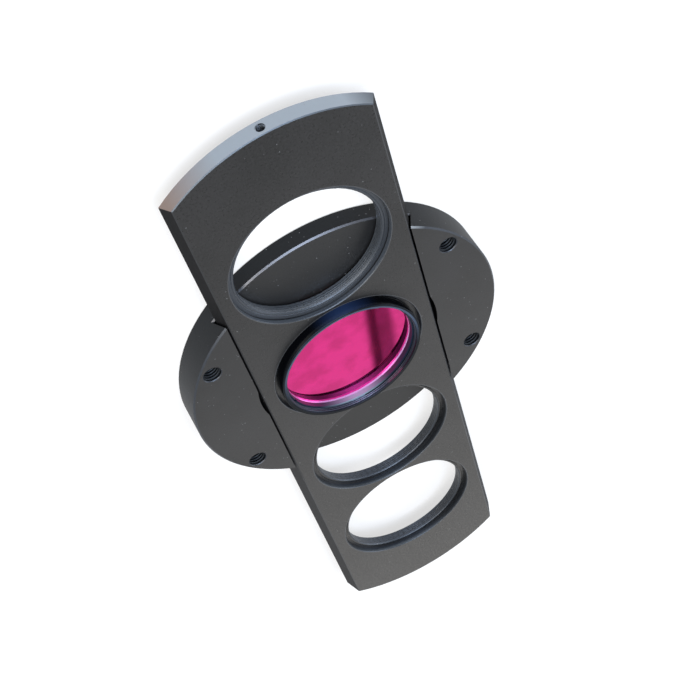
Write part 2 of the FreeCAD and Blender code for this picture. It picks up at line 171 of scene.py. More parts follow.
def makeBackground():
    world = bpy.data.worlds.new("studio")
    bpy.context.scene.world = world
    world.use_nodes = True
    tree = world.node_tree
    tree.nodes.clear()
    path = addNode(tree, "ShaderNodeLightPath")
    toward = addNode(tree, "ShaderNodeTexCoord").outputs["Generated"]
    upward = addNode(tree, "ShaderNodeSeparateXYZ", {}, {0: toward})
    fading = addNode(tree, "ShaderNodeMapRange", {},
                     {"Value": upward.outputs["Z"],
                      "From Min": studio["skyFade"][0], "From Max": studio["skyFade"][1],
                      "To Min": studio["skyLow"], "To Max": studio["skyTop"]})
    strip = studio["strip"]
    across = addNode(tree, "ShaderNodeVectorMath", {"operation": "DOT_PRODUCT"},
                     {0: toward, 1: strip["side"]})
    offAxis = [addNode(tree, "ShaderNodeMath", {"operation": "SUBTRACT"},
                       {0: across.outputs["Value"], 1: strip["start"] + width / 2})
               for width in (strip["width"], strip["core"])]
    shades = []
    levels = (strip["dark"], strip["darkest"])
    for offset, width, level in zip(offAxis, (strip["width"], strip["core"]), levels):
        away = addNode(tree, "ShaderNodeMath", {"operation": "ABSOLUTE"}, {0: offset.outputs[0]})
        shades.append(addNode(tree, "ShaderNodeMapRange", {},
                              {"Value": away.outputs[0], "From Min": width / 2 - strip["soft"],
                               "From Max": width / 2 + strip["soft"], "To Min": level, "To Max": 1.0}))
    darker = addNode(tree, "ShaderNodeMath", {"operation": "MINIMUM"},
                     {0: shades[0].outputs[0], 1: shades[1].outputs[0]})
    # The strip ends below and above what the glass shows
    height = addNode(tree, "ShaderNodeMath", {"operation": "SUBTRACT"},
                     {0: upward.outputs["Z"], 1: strip["height"]})
    beyond = addNode(tree, "ShaderNodeMath", {"operation": "ABSOLUTE"}, {0: height.outputs[0]})
    reach = addNode(tree, "ShaderNodeMapRange", {},
                    {"Value": beyond.outputs[0], "From Min": strip["reach"][0], "From Max": strip["reach"][1]})
    elsewhere = addNode(tree, "ShaderNodeMath", {"operation": "LESS_THAN"},
                        {0: upward.outputs["X"], 1: strip["forward"]})
    clear = addNode(tree, "ShaderNodeMath", {"operation": "MAXIMUM"},
                    {0: reach.outputs[0], 1: elsewhere.outputs[0]})
    seenStrip = addNode(tree, "ShaderNodeMath", {"operation": "MAXIMUM"},
                        {0: darker.outputs[0], 1: clear.outputs[0]})
    mirrored = addNode(tree, "ShaderNodeMath", {"operation": "MULTIPLY"},
                       {0: fading.outputs[0], 1: seenStrip.outputs[0]})
    lit = addNode(tree, "ShaderNodeMix", {"data_type": "FLOAT"},
                  {0: path.outputs["Is Glossy Ray"], 2: studio["skyLight"], 3: mirrored.outputs[0]})
    straight = addNode(tree, "ShaderNodeMath", {"operation": "MAXIMUM"},
                       {0: path.outputs["Is Camera Ray"], 1: path.outputs["Is Transmission Ray"]})
    level = addNode(tree, "ShaderNodeMix", {"data_type": "FLOAT"},
                    {0: straight.outputs[0], 2: lit.outputs[0], 3: 1.0})
    sky = addNode(tree, "ShaderNodeBackground", {}, {"Color": (1, 1, 1, 1), "Strength": level.outputs[0]})
    addNode(tree, "ShaderNodeOutputWorld", {}, {"Surface": sky.outputs[0]})


def makeLamp(name, lamp):
    light = bpy.data.lights.new(name, "AREA")
    light.shape = "RECTANGLE"
    light.size, light.size_y = [side * mm for side in lamp["size"]]
    light.energy = lamp["power"]
    light.color = hexColour(lamp["colour"])[:3]
    lampObject = place(light, name)
    lampObject.location = [value * mm for value in lamp["place"]]
    aim = middleBase - lampObject.location
    lampObject.rotation_euler = aim.to_track_quat("-Z", "Y").to_euler()


baseLow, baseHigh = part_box("base_plate")
middleBase = (baseLow + baseHigh) / 2
bpy.context.scene.view_settings.view_transform = "Standard"
makeCamera()
makeFloor()
makeBackground()
for name, lamp in studio["lamps"].items():
    makeLamp(name, lamp)
print("camera, floor and", len(studio["lamps"]), "lamps set")

# Finishes: a roughness of two values is a range, which the finish's own marks spread over

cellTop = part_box("filter_cell")[1][2]
ringLow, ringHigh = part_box("filter_retaining_ring")


def newFinish(name):
    finish = bpy.data.materials.new(name)
    finish.use_nodes = True
    finish.node_tree.nodes.clear()
    return finish, finish.node_tree


# Aluminium under a dyed oxide layer. The blasted faces are near black with a dull sheen that grows at low
# angles. Walls, edges, rims and ends get zones of their own, and most zone colours are painted light:
# painted highlights and reflections where they are lighter, painted shade where they are darker.
# A zone is where the surface leans by so much, give or take its half: 0 is a wall, 1 lies flat. Where it names
# coordinates, each fades it in from a first value to a second, in mm. Beside counts from the line of travel,
# outward from the middle of the plate along it, and fromRim from the rim of the nearest opening.
endWalls = ("outward", 109, 110)
anodised = {
    "plate": {
        "colour": "#0e0f10", "worn": "#1a1a1b", "roughness": (0.27, 0.41),
        "grain": 0.75,  # mm, the blasted surface, drawn coarser than the real 0.05 so that it shows
        "grainDepth": 0.02, "cloud": 22, "dust": 1.0, "rimRadius": 26.45,  # mm
        "dustChance": 0.96,
        "zones": {
            "bore": {"lean": 0.0, "half": 0.2, "colour": "#3f4650", "roughness": 0.36, "metal": 0.65},
            # Painted shade: the far openings' walls are darker on one side.
            "sideBore": {"lean": 0.0, "half": 0.2, "colour": "#272b30", "roughness": 0.4, "metal": 0.6,
                         "where": [("X", 30, 36), ("Y", 2, 14)]},
            # Painted highlight: a lighter band at the top of the far openings' walls.
            "farLip": {"lean": 0.0, "half": 0.2, "colour": "#565d64", "roughness": 0.4, "metal": 0.65,
                       "where": [("X", 24, 30), ("Z", 11.3, 12.2), ("Y", 14, 0)]},
            # Painted highlight: the near opening's wall is lighter.
            "nearBore": {"lean": 0.0, "half": 0.35, "colour": "#6d747c", "roughness": 0.4, "metal": 0.7,
                         "where": [("X", -24, -30)]},
            # Painted highlight: a bright band on the near opening's thread.
            "nearThread": {"lean": 0.0, "half": 0.35, "colour": "#b4bac1", "roughness": 0.36, "metal": 0.8,
                           "where": [("X", -24, -30), ("Z", 8.6, 10.5), ("Z", 10.92, 10.88), ("Y", 22, 4)]},
            # Painted shade: a dark line at the near opening's step.
            "nearStep": {"lean": 0.707, "half": 0.1, "colour": "#111214", "roughness": 0.6, "metal": 0.5,
                         "where": [("X", -24, -30), ("Z", 11.8, 11.6)]},
            # Painted sheen: the near opening's ledge is lighter than the face.
            "nearLedge": {"lean": 1.0, "half": 0.1, "colour": "#4a4e53", "roughness": 0.4, "metal": 0.6,
                          "where": [("X", -24, -30), ("Z", 12, 11.7)]},
            # Painted shade: a dark corner between the near opening's ledge and wall.
            "nearCorner": {"lean": 0.0, "half": 0.2, "colour": "#1e2023", "roughness": 0.5, "metal": 0.6,
                           "where": [("X", -24, -30), ("Z", 11.6, 11.3), ("Z", 10.86, 10.9)]},
            # Painted shade: the dovetail flanks are darker, and near black toward the near end.
            "flank": {"lean": 0.416, "half": 0.04, "colour": "#08080a", "roughness": 0.95, "metal": 0.0},
            "nearFlank": {"lean": 0.416, "half": 0.04, "colour": "#0c0c0e", "roughness": 0.8, "metal": 0.85,
                          "where": [("X", 45, 25)]},
            # Painted highlight: chamfered edges are lighter than the face.
            "edge": {"lean": 0.707, "half": 0.1, "colour": "#343a41", "roughness": 0.4, "metal": 0.5},
            # Painted shade: the edges beside the gap are dark.
            "gapEdge": {"lean": 0.707, "half": 0.1, "colour": "#0c0c0e", "roughness": 0.7, "metal": 0.8,
                        "where": [("beside", 29, 30), ("X", 60, 50)]},
            # Painted highlight: a lighter line along the near end's edge.
            "endEdge": {"lean": 0.707, "half": 0.1, "colour": "#596067", "roughness": 0.5, "metal": 0.8,
                        "where": [("outward", 124.0, 124.6), ("X", -60, -70)]},
            # Painted highlight: a light line round each opening's rim.
            "rim": {"lean": 1.0, "half": 0.1, "colour": "#4a4b4d", "roughness": 0.4, "metal": 0.3,
                    "where": [("fromRim", 0.3, 0.1), ("outward", 106.9, 106.4)]},
            # Painted reflection and highlight: the rounded end walls are light metal.
            "end": {"lean": 0.0, "half": 0.2, "colour": "#959ea7", "roughness": 0.3, "metal": 0.9,
                    "where": [endWalls]},
            # Painted reflection: the end walls turn warm toward -Y.
            "endWarm": {"lean": 0.0, "half": 0.2, "colour": "#87776f", "roughness": 0.34, "metal": 0.9,
                        "where": [endWalls, ("Y", -14, -31)]},
            # Painted shade: the end walls are darker toward +Y.
            "endDark": {"lean": 0.0, "half": 0.2, "colour": "#3c434b", "roughness": 0.3, "metal": 0.8,
                        "where": [endWalls, ("Y", 24, 34)]},
        },
    },
    "base": {
        "colour": "#0e0f11", "worn": "#18191b", "roughness": (0.29, 0.43),
        "grain": 0.75, "grainDepth": 0.02, "cloud": 15, "dust": 0.9,  # mm
        "dustChance": 0.9,
        "zones": {
            # Painted shade: the walls are dark, with a little sheen.
            "wall": {"lean": 0.0, "half": 0.2, "colour": "#15181b", "roughness": 0.55, "metal": 0.7},
            # Painted highlight: chamfered edges are lighter.
            "edge": {"lean": 0.707, "half": 0.1, "colour": "#30353c", "roughness": 0.4, "metal": 0.5},
            # Painted highlight: a bright spot on the edge at the near corner of one cheek.
            "cornerEdge": {"lean": 0.707, "half": 0.1, "colour": "#8f959a", "roughness": 0.4, "metal": 0.8,
                           "where": [("X", -40, -43.5), ("Y", 24, 31)]},
            # Painted shade: the channel's slanted sides are near black.
            "channel": {"lean": 0.416, "half": 0.04, "colour": "#0a0a0b", "roughness": 0.8, "metal": 0.9},
            # Painted shade: the floor under the slide is a little darker.
            "floor": {"lean": 1.0, "half": 0.1, "colour": "#0b0c0d", "roughness": 0.48, "metal": 0.0,
                      "where": [("Z", 8.5, 8)]},
            # Painted highlight: a light line on the floor's edges.
            "floorEdge": {"lean": 0.707, "half": 0.1, "colour": "#55565a", "roughness": 0.35, "metal": 0.75,
                          "where": [("Z", 8.5, 8)]},
            # Painted shade: a dark band along the floor beside the slide's edges.
            "floorSide": {"lean": 1.0, "half": 0.1, "colour": "#0a0a0b", "roughness": 0.8, "metal": 0.9,
                          "where": [("Z", 8.5, 8), ("beside", 28.5, 30)]},
            # Painted shade: the relief grooves are near black.
            "relief": {"lean": 0.0, "half": 0.2, "colour": "#0a0a0b", "roughness": 0.8, "metal": 0.9,
                       "where": [("beside", 34, 33.5), ("Z", 6, 6.5), ("X", -42, -38), ("X", 42, 38)]},
        },
    },
}
oxide = {
    "ior": 1.62,
    "grainRange": (0.35, 0.65), "tintRange": (0.15, 0.35),  # values of the noise that the change spreads over
    "leanFade": 0.05,  # how far past its half a zone fades out
    "speck": (0.2, 0.1), "dustColour": "#8e8f90",  # share of the dust's spacing at a speck's rim and inside
}
slideLow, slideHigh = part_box("slide_plate")
slideMiddle = (slideLow[0] + slideHigh[0]) / 2
stationPitch = mounts["filter_thread_far"]["pos_m"][0] - mounts["filter_thread_third"]["pos_m"][0]


def makeAnodised(name, look):
    finish, tree = newFinish(name)
    where = addNode(tree, "ShaderNodeTexCoord")
    spot = where.outputs["Object"]
    grain = addNode(tree, "ShaderNodeTexNoise", {},
                    {"Vector": spot, "Scale": 1 / (look["grain"] * mm), "Detail": 2, "Roughness": 0.6})
    cloud = addNode(tree, "ShaderNodeTexNoise", {},
                    {"Vector": spot, "Scale": 1 / (look["cloud"] * mm), "Detail": 4, "Roughness": 0.55})
    mixed = addNode(tree, "ShaderNodeMath", {"operation": "MULTIPLY"},
                    {0: grain.outputs[0], 1: cloud.outputs[0]})
    tint = addNode(tree, "ShaderNodeMapRange", {},
                   {"Value": mixed.outputs[0],
                    "From Min": oxide["tintRange"][0], "From Max": oxide["tintRange"][1]})
    colour = addNode(tree, "ShaderNodeMix", {"data_type": "RGBA"},
                     {0: tint.outputs[0],
                      6: hexColour(look["colour"]), 7: hexColour(look["worn"])}).outputs[2]
    dull = addNode(tree, "ShaderNodeMapRange", {},
                   {"Value": grain.outputs[0],
                    "From Min": oxide["grainRange"][0], "From Max": oxide["grainRange"][1],
                    "To Min": look["roughness"][0], "To Max": look["roughness"][1]}).outputs[0]
    metal = 0.0
    lean = addNode(tree, "ShaderNodeSeparateXYZ", {}, {0: where.outputs["Normal"]})
    flat = addNode(tree, "ShaderNodeMath", {"operation": "ABSOLUTE"}, {0: lean.outputs["Z"]})
    along = addNode(tree, "ShaderNodeSeparateXYZ", {}, {0: spot})
    fromMiddle = addNode(tree, "ShaderNodeMath", {"operation": "SUBTRACT"},
                         {0: along.outputs["X"], 1: slideMiddle})
    outward = addNode(tree, "ShaderNodeMath", {"operation": "ABSOLUTE"}, {0: fromMiddle.outputs[0]})
    beside = addNode(tree, "ShaderNodeMath", {"operation": "ABSOLUTE"}, {0: along.outputs["Y"]})
    # Distance from the rim of the nearest opening
    step = addNode(tree, "ShaderNodeMath", {"operation": "WRAP"},
                   {0: along.outputs["X"], 1: stationPitch / 2, 2: -stationPitch / 2})
    flatSpot = addNode(tree, "ShaderNodeCombineXYZ", {}, {"X": step.outputs[0], "Y": along.outputs["Y"]})
    radial = addNode(tree, "ShaderNodeVectorMath", {"operation": "LENGTH"}, {0: flatSpot.outputs[0]})
    past = addNode(tree, "ShaderNodeMath", {"operation": "SUBTRACT"},
                   {0: radial.outputs["Value"], 1: look.get("rimRadius", 0) * mm})
    fromRim = addNode(tree, "ShaderNodeMath", {"operation": "ABSOLUTE"}, {0: past.outputs[0]})
    coordinates = {"X": along.outputs["X"], "Y": along.outputs["Y"], "Z": along.outputs["Z"],
                   "outward": outward.outputs[0], "beside": beside.outputs[0], "fromRim": fromRim.outputs[0]}
    for zone in look["zones"].values():
        off = addNode(tree, "ShaderNodeMath", {"operation": "SUBTRACT"},
                      {0: flat.outputs[0], 1: zone["lean"]})
        gap = addNode(tree, "ShaderNodeMath", {"operation": "ABSOLUTE"}, {0: off.outputs[0]})
        mask = addNode(tree, "ShaderNodeMapRange", {},
                       {"Value": gap.outputs[0],
                        "From Min": zone["half"] + oxide["leanFade"], "From Max": zone["half"]})
        for coordinate, start, full in zone.get("where", []):
            fade = addNode(tree, "ShaderNodeMapRange", {},
                           {"Value": coordinates[coordinate], "From Min": start * mm, "From Max": full * mm})
            mask = addNode(tree, "ShaderNodeMath", {"operation": "MULTIPLY"},
                           {0: mask.outputs[0], 1: fade.outputs[0]})
        colour = addNode(tree, "ShaderNodeMix", {"data_type": "RGBA"},
                         {0: mask.outputs[0], 6: colour, 7: hexColour(zone["colour"])}).outputs[2]
        dull = addNode(tree, "ShaderNodeMix", {"data_type": "FLOAT"},
                       {0: mask.outputs[0], 2: dull, 3: zone["roughness"]}).outputs[0]
        metal = addNode(tree, "ShaderNodeMix", {"data_type": "FLOAT"},
                        {0: mask.outputs[0], 2: metal, 3: zone["metal"]}).outputs[0]
    # Sparse pale dust
    cells = addNode(tree, "ShaderNodeTexVoronoi", {}, {"Vector": spot, "Scale": 1 / (look["dust"] * mm)})
    speck = addNode(tree, "ShaderNodeMapRange", {},
                    {"Value": cells.outputs["Distance"],
                     "From Min": oxide["speck"][0], "From Max": oxide["speck"][1]})
    chance = addNode(tree, "ShaderNodeSeparateColor", {}, {0: cells.outputs["Color"]})
    some = addNode(tree, "ShaderNodeMapRange", {},
                   {"Value": chance.outputs[0], "From Min": look["dustChance"], "From Max": 1.0})
    dusty = addNode(tree, "ShaderNodeMath", {"operation": "MULTIPLY"},
                    {0: speck.outputs[0], 1: some.outputs[0]})
    colour = addNode(tree, "ShaderNodeMix", {"data_type": "RGBA"},
                     {0: dusty.outputs[0], 6: colour, 7: hexColour(oxide["dustColour"])}).outputs[2]
    bump = addNode(tree, "ShaderNodeBump", {},
                   {"Height": grain.outputs[0], "Distance": look["grainDepth"] * mm, "Strength": 1.0})
    shader = addNode(tree, "ShaderNodeBsdfPrincipled", {},
                     {"Base Color": colour, "Roughness": dull, "Metallic": metal, "IOR": oxide["ior"],
                      "Normal": bump.outputs[0]})
    addNode(tree, "ShaderNodeOutputMaterial", {}, {"Surface": shader.outputs[0]})
    return finish


# Glossy black dye on a fine turned ring. The top of its rim is dark metal. On the lit side, a painted
# highlight lightens the rim's inner edge, and a painted blue reflection lies on part of the wall.
glossBlack = {
    "colour": "#08090c", "roughness": (0.09, 0.17),
    "blueReflection": "#223252", "reflectionMiddle": 3, "reflectionHalf": 12,  # painted blue reflection, and its middle and half width in mm along Y
    "tool": 0.15, "toolDepth": 0.001,  # mm, the turning marks
    # rim is the colour of the rim's painted highlight, rimDark the rim's own colour
    "rim": "#5d708c", "rimDark": "#1c2128", "rimRoughness": 0.42, "rimHeight": 0.25,  # mm
    "litSide": (-0.995, 0.1, 0), "litSideFade": (-8, 12),  # direction toward the lit side, and mm along it
    "highlightRadius": (24.2, 23.95),  # mm from the middle, over which the painted highlight begins
}


def makeGlossBlack(name, look):
    finish, tree = newFinish(name)
    where = addNode(tree, "ShaderNodeTexCoord")
    marks = addNode(tree, "ShaderNodeTexNoise", {},
                    {"Vector": where.outputs["Object"], "Scale": 1 / (look["tool"] * mm), "Detail": 2})
    bump = addNode(tree, "ShaderNodeBump", {},
                   {"Height": marks.outputs[0], "Distance": look["toolDepth"] * mm})
    spot = addNode(tree, "ShaderNodeSeparateXYZ", {}, {0: where.outputs["Object"]})
    top = addNode(tree, "ShaderNodeMath", {"operation": "GREATER_THAN"},
                  {0: spot.outputs["Z"], 1: cellTop - look["rimHeight"] * mm})
    towardLitSide = addNode(tree, "ShaderNodeVectorMath", {"operation": "DOT_PRODUCT"},
                     {0: where.outputs["Object"], 1: look["litSide"]})
    onLitSide = addNode(tree, "ShaderNodeMapRange", {"interpolation_type": "SMOOTHSTEP"},
                      {"Value": towardLitSide.outputs["Value"],
                       "From Min": look["litSideFade"][0] * mm, "From Max": look["litSideFade"][1] * mm})
    # Painted reflection: part of the wall on the lit side is tinted blue
    aside = addNode(tree, "ShaderNodeMath", {"operation": "SUBTRACT"},
                    {0: spot.outputs["Y"], 1: look["reflectionMiddle"] * mm})
    sideways = addNode(tree, "ShaderNodeMath", {"operation": "ABSOLUTE"}, {0: aside.outputs[0]})
    reflectionMask = addNode(tree, "ShaderNodeMapRange", {"interpolation_type": "SMOOTHSTEP"},
                     {"Value": sideways.outputs[0], "From Min": look["reflectionHalf"] * mm, "From Max": 0.0})
    nearReflection = addNode(tree, "ShaderNodeMath", {"operation": "MULTIPLY"},
                       {0: reflectionMask.outputs[0], 1: onLitSide.outputs[0]})
    dyeAndReflection = addNode(tree, "ShaderNodeMix", {"data_type": "RGBA"},
                  {0: nearReflection.outputs[0], 6: hexColour(look["colour"]), 7: hexColour(look["blueReflection"])})
    # Painted highlight on the rim's inner edge, on the lit side
    flatSpot = addNode(tree, "ShaderNodeCombineXYZ", {}, {"X": spot.outputs["X"], "Y": spot.outputs["Y"]})
    radial = addNode(tree, "ShaderNodeVectorMath", {"operation": "LENGTH"}, {0: flatSpot.outputs[0]})
    inner = addNode(tree, "ShaderNodeMapRange", {},
                    {"Value": radial.outputs["Value"], "From Min": look["highlightRadius"][0] * mm,
                     "From Max": look["highlightRadius"][1] * mm})
    paintedHighlight = addNode(tree, "ShaderNodeMath", {"operation": "MULTIPLY"},
                   {0: inner.outputs[0], 1: onLitSide.outputs[0]})
    rim = addNode(tree, "ShaderNodeMix", {"data_type": "RGBA"},
                  {0: paintedHighlight.outputs[0], 6: hexColour(look["rimDark"]), 7: hexColour(look["rim"])})
    colour = addNode(tree, "ShaderNodeMix", {"data_type": "RGBA"},
                     {0: top.outputs[0], 6: dyeAndReflection.outputs[2], 7: rim.outputs[2]})
    even = addNode(tree, "ShaderNodeMapRange", {},
                   {"Value": marks.outputs[0], "To Min": look["roughness"][0], "To Max": look["roughness"][1]})
    dull = addNode(tree, "ShaderNodeMix", {"data_type": "FLOAT"},
                   {0: top.outputs[0], 2: even.outputs[0], 3: look["rimRoughness"]})
    shader = addNode(tree, "ShaderNodeBsdfPrincipled", {},
                     {"Base Color": colour.outputs[2], "Roughness": dull.outputs[0],
                      "Metallic": top.outputs[0], "Normal": bump.outputs[0]})
    addNode(tree, "ShaderNodeOutputMaterial", {}, {"Surface": shader.outputs[0]})
    return finish


# Satin grey aluminium of the retaining ring, and two kinds of cut thread. The ring's low bevel where it meets
# the glass is a painted highlight and pink reflection. A shine is a painted highlight, shineHalf mm along Y to
# each side of shineMiddle.
satin = {
    "cut": {"colour": "#2e3236", "roughness": (0.44, 0.6), "metal": 0.7},
    "ring": {
        # shine is the colour of a painted highlight
        "colour": "#162636", "roughness": (0.39, 0.55), "metal": 0.15, "shine": "#90a6b4",
        # bevel is the colour of a painted highlight and reflection of the pink glass
        "bevel": "#c6c2ea", "bevelRoughness": 0.2, "bevelMetal": 0.25, "bevelTop": (0.7, 0.6),  # mm
    },
    # The cell's thread, with a painted highlight in shine
    "thread": {"colour": "#363d49", "roughness": (0.22, 0.38), "metal": 0.6, "shine": "#5c6678"},
}
shineMiddle, shineHalf = -2, 14  # mm, the painted highlight's middle and half width along Y
turningMarks = 0.2  # mm apart


def makeSatin(name, look):
    finish, tree = newFinish(name)
    where = addNode(tree, "ShaderNodeTexCoord")
    spot = addNode(tree, "ShaderNodeSeparateXYZ", {}, {0: where.outputs["Object"]})
    # Turning marks run round the ring, so the pattern changes with the height alone
    marks = addNode(tree, "ShaderNodeTexNoise", {"noise_dimensions": "1D"},
                    {"W": spot.outputs["Z"], "Scale": 1 / (turningMarks * mm), "Detail": 2})
    dull = addNode(tree, "ShaderNodeMapRange", {},
                   {"Value": marks.outputs[0],
                    "To Min": look["roughness"][0], "To Max": look["roughness"][1]}).outputs[0]
    colour, metal = hexColour(look["colour"]), look["metal"]
    # Painted highlight: a lighter band across the wall, centred on shineMiddle along Y
    if "shine" in look:
        aside = addNode(tree, "ShaderNodeMath", {"operation": "SUBTRACT"},
                        {0: spot.outputs["Y"], 1: shineMiddle * mm})
        sideways = addNode(tree, "ShaderNodeMath", {"operation": "ABSOLUTE"}, {0: aside.outputs[0]})
        shineMask = addNode(tree, "ShaderNodeMapRange", {"interpolation_type": "SMOOTHSTEP"},
                          {"Value": sideways.outputs[0], "From Min": shineHalf * mm, "From Max": 0.0})
        colour = addNode(tree, "ShaderNodeMix", {"data_type": "RGBA"},
                         {0: shineMask.outputs[0], 6: colour, 7: hexColour(look["shine"])}).outputs[2]
    # Painted highlight and reflection: the low bevel is lilac-white
    if "bevel" in look:
        high, full = look["bevelTop"]
        low = addNode(tree, "ShaderNodeMapRange", {},
                      {"Value": spot.outputs["Z"],
                       "From Min": ringLow[2] + high * mm, "From Max": ringLow[2] + full * mm})
        colour = addNode(tree, "ShaderNodeMix", {"data_type": "RGBA"},
                         {0: low.outputs[0], 6: colour, 7: hexColour(look["bevel"])}).outputs[2]
        dull = addNode(tree, "ShaderNodeMix", {"data_type": "FLOAT"},
                       {0: low.outputs[0], 2: dull, 3: look["bevelRoughness"]}).outputs[0]
        metal = addNode(tree, "ShaderNodeMix", {"data_type": "FLOAT"},
                        {0: low.outputs[0], 2: metal, 3: look["bevelMetal"]}).outputs[0]
    shader = addNode(tree, "ShaderNodeBsdfPrincipled", {},
                     {"Base Color": colour, "Roughness": dull, "Metallic": metal})
    addNode(tree, "ShaderNodeOutputMaterial", {}, {"Surface": shader.outputs[0]})
    return finish


# Interference coating on optical glass: it throws back pink and lets a little light through
coatedGlass = {
    "colour": "#ff3c9e", "metallic": 0.9, "roughness": (0.01, 0.05),
    "cloudColour": "#e8358c", "cloud": 8,  # mm
    "cloudRange": (0.4, 0.6),  # values of the noise that the clouds' edges spread over
}


def makeCoatedGlass(name, look):
    finish, tree = newFinish(name)
    where = addNode(tree, "ShaderNodeTexCoord")
    haze = addNode(tree, "ShaderNodeTexNoise", {},
                   {"Vector": where.outputs["Object"], "Scale": 1 / (look["cloud"] * mm), "Detail": 4})
    dull = addNode(tree, "ShaderNodeMapRange", {},
                   {"Value": haze.outputs[0], "To Min": look["roughness"][0], "To Max": look["roughness"][1]})
    patches = addNode(tree, "ShaderNodeMapRange", {},
                      {"Value": haze.outputs[0],
                       "From Min": look["cloudRange"][0], "From Max": look["cloudRange"][1]})
    tint = addNode(tree, "ShaderNodeMix", {"data_type": "RGBA"},
                   {0: patches.outputs[0], 6: hexColour(look["colour"]), 7: hexColour(look["cloudColour"])})
    shader = addNode(tree, "ShaderNodeBsdfPrincipled", {},
                     {"Base Color": tint.outputs[2], "Roughness": dull.outputs[0],
                      "Metallic": look["metallic"], "Transmission Weight": 1.0})
    addNode(tree, "ShaderNodeOutputMaterial", {}, {"Surface": shader.outputs[0]})
    return finish


# Turned, drawn and polished steel of the ball plungers
steels = {
    "turned_steel": {"colour": "#a9a7a2", "roughness": (0.29, 0.42), "grain": 0.25},  # mm
    "drawn_spring_wire": {"colour": "#8f8e8c", "roughness": (0.23, 0.36), "grain": 0.1},
    "polished_bearing_ball": {"colour": "#d3d4d6", "roughness": (0.03, 0.16), "grain": 0.5},
}


def makeSteel(name, look):
    finish, tree = newFinish(name)
    where = addNode(tree, "ShaderNodeTexCoord")
    marks = addNode(tree, "ShaderNodeTexNoise", {},
                    {"Vector": where.outputs["Object"], "Scale": 1 / (look["grain"] * mm), "Detail": 3})
    dull = addNode(tree, "ShaderNodeMapRange", {},
                   {"Value": marks.outputs[0], "To Min": look["roughness"][0], "To Max": look["roughness"][1]})
    shader = addNode(tree, "ShaderNodeBsdfPrincipled", {},
                     {"Base Color": hexColour(look["colour"]), "Roughness": dull.outputs[0], "Metallic": 1.0})
    addNode(tree, "ShaderNodeOutputMaterial", {}, {"Surface": shader.outputs[0]})
    return finish


plateFinish = makeAnodised("black_anodised_plate", anodised["plate"])
baseFinish = makeAnodised("black_anodised_base", anodised["base"])
glossFinish = makeGlossBlack("gloss_black_anodised", glossBlack)
satinFinish = makeSatin("satin_grey_aluminium", satin["ring"])
# The cell's thread, with a painted highlight
threadFinish = makeSatin("worn_thread_crests", satin["thread"])
cutFinish = makeSatin("cut_thread_in_aluminium", satin["cut"])
glassFinish = makeCoatedGlass("pink_coated_glass", coatedGlass)
steelFinishes = {name: makeSteel(name, look) for name, look in steels.items()}


def dress(node, finish):
    mesh = nodes[node].data
    mesh.materials.clear()
    mesh.materials.append(finish)


dress("base_plate", baseFinish)
dress("slide_plate", plateFinish)
dress("filter_cell", glossFinish)
dress("filter_retaining_ring", satinFinish)
dress("filter_glass", glassFinish)
for side in ("left", "right"):
    dress(f"plunger_sleeve_{side}", steelFinishes["turned_steel"])
    dress(f"plunger_spring_{side}", steelFinishes["drawn_spring_wire"])
    dress(f"plunger_ball_{side}", steelFinishes["polished_bearing_ball"])
print("finishes assigned")

# Screw threads: a ridge that winds up the wall of each tapped hole

threadInputs = {
    "Outer radius": "NodeSocketFloat", "Depth": "NodeSocketFloat", "Pitch": "NodeSocketFloat",
    "Turns": "NodeSocketFloat", "Steps": "NodeSocketInt", "Centre": "NodeSocketVector",
    "Tilt": "NodeSocketRotation", "Row length": "NodeSocketFloat", "Row width": "NodeSocketFloat",
    "Holes along": "NodeSocketInt", "Holes across": "NodeSocketInt", "Finish": "NodeSocketMaterial",
}


ridgeFoot, ridgeCrest = 0.44, 0.07  # half widths of a ridge, as shares of the pitch
ridgeBite = 0.02  # mm, how far a ridge's foot reaches into the wall


